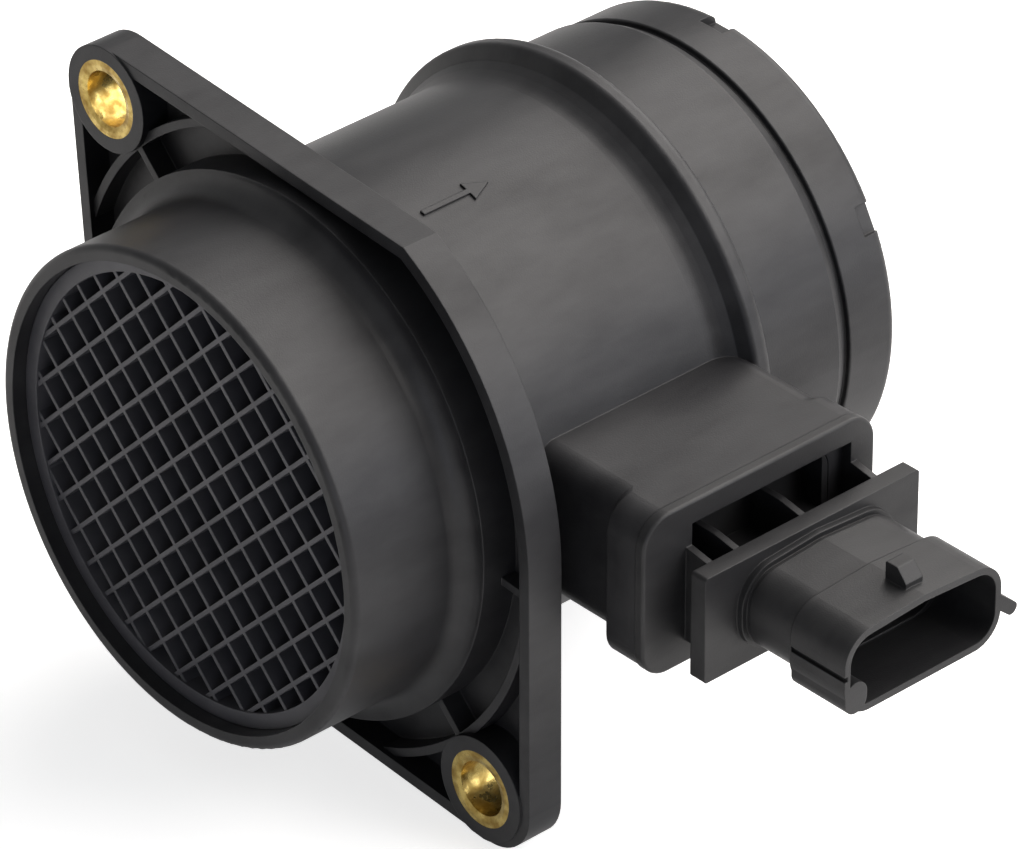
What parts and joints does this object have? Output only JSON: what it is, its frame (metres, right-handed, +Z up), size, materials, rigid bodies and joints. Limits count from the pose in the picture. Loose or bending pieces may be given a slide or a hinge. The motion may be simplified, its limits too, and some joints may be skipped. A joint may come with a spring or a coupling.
{
  "type": "mass airflow sensor",
  "caption": "Moulded intake tube with a slanted two-lug bolt flange, a diagonal inlet grille and a plug-in sensor module whose blade crosses the duct and ends in a flat electrical socket",
  "frame": {"origin": "on the duct's axis, in the plane of the bolt flange's front face", "axes": "+Y along the duct in the direction of the air flow, +X towards the electrical socket, +Z up"},
  "size_m": [0.1435, 0.1102, 0.1],
  "materials": {
    "housing_plastic": "satin, moulded, glass-filled",
    "module_plastic": "satin, moulded, glass-filled",
    "grid_plastic": "satin, moulded",
    "sleeve_brass": "turned",
    "seal_rubber": "matte",
    "cover_plastic": "satin, moulded",
    "carrier_metal": "rolled sheet",
    "board_laminate": "ceramic substrate",
    "chip_resin": "moulded",
    "capacitor_ceramic": "fired ceramic",
    "bead_glass": "sealed bead",
    "terminal_metal": "tin plated"
  },
  "bodies": {
    "root": {"tube_housing": "housing_plastic", "upper_bushing": "sleeve_brass", "lower_bushing": "sleeve_brass", "inlet_grid": "grid_plastic", "module_housing": "module_plastic", "module_seal": "seal_rubber", "electronics_cover": "cover_plastic", "bypass_cover": "cover_plastic", "carrier_plate": "carrier_metal", "circuit_board": "board_laminate", "control_chip": "chip_resin", "sensor_chip": "chip_resin", "capacitor_1": "capacitor_ceramic", "capacitor_2": "capacitor_ceramic", "thermistor_bead": "bead_glass", "thermistor_lead_inner": "terminal_metal", "thermistor_lead_outer": "terminal_metal", "terminal_1": "terminal_metal", "terminal_2": "terminal_metal", "terminal_3": "terminal_metal", "terminal_4": "terminal_metal", "terminal_5": "terminal_metal"}
  },
  "joints": []
}
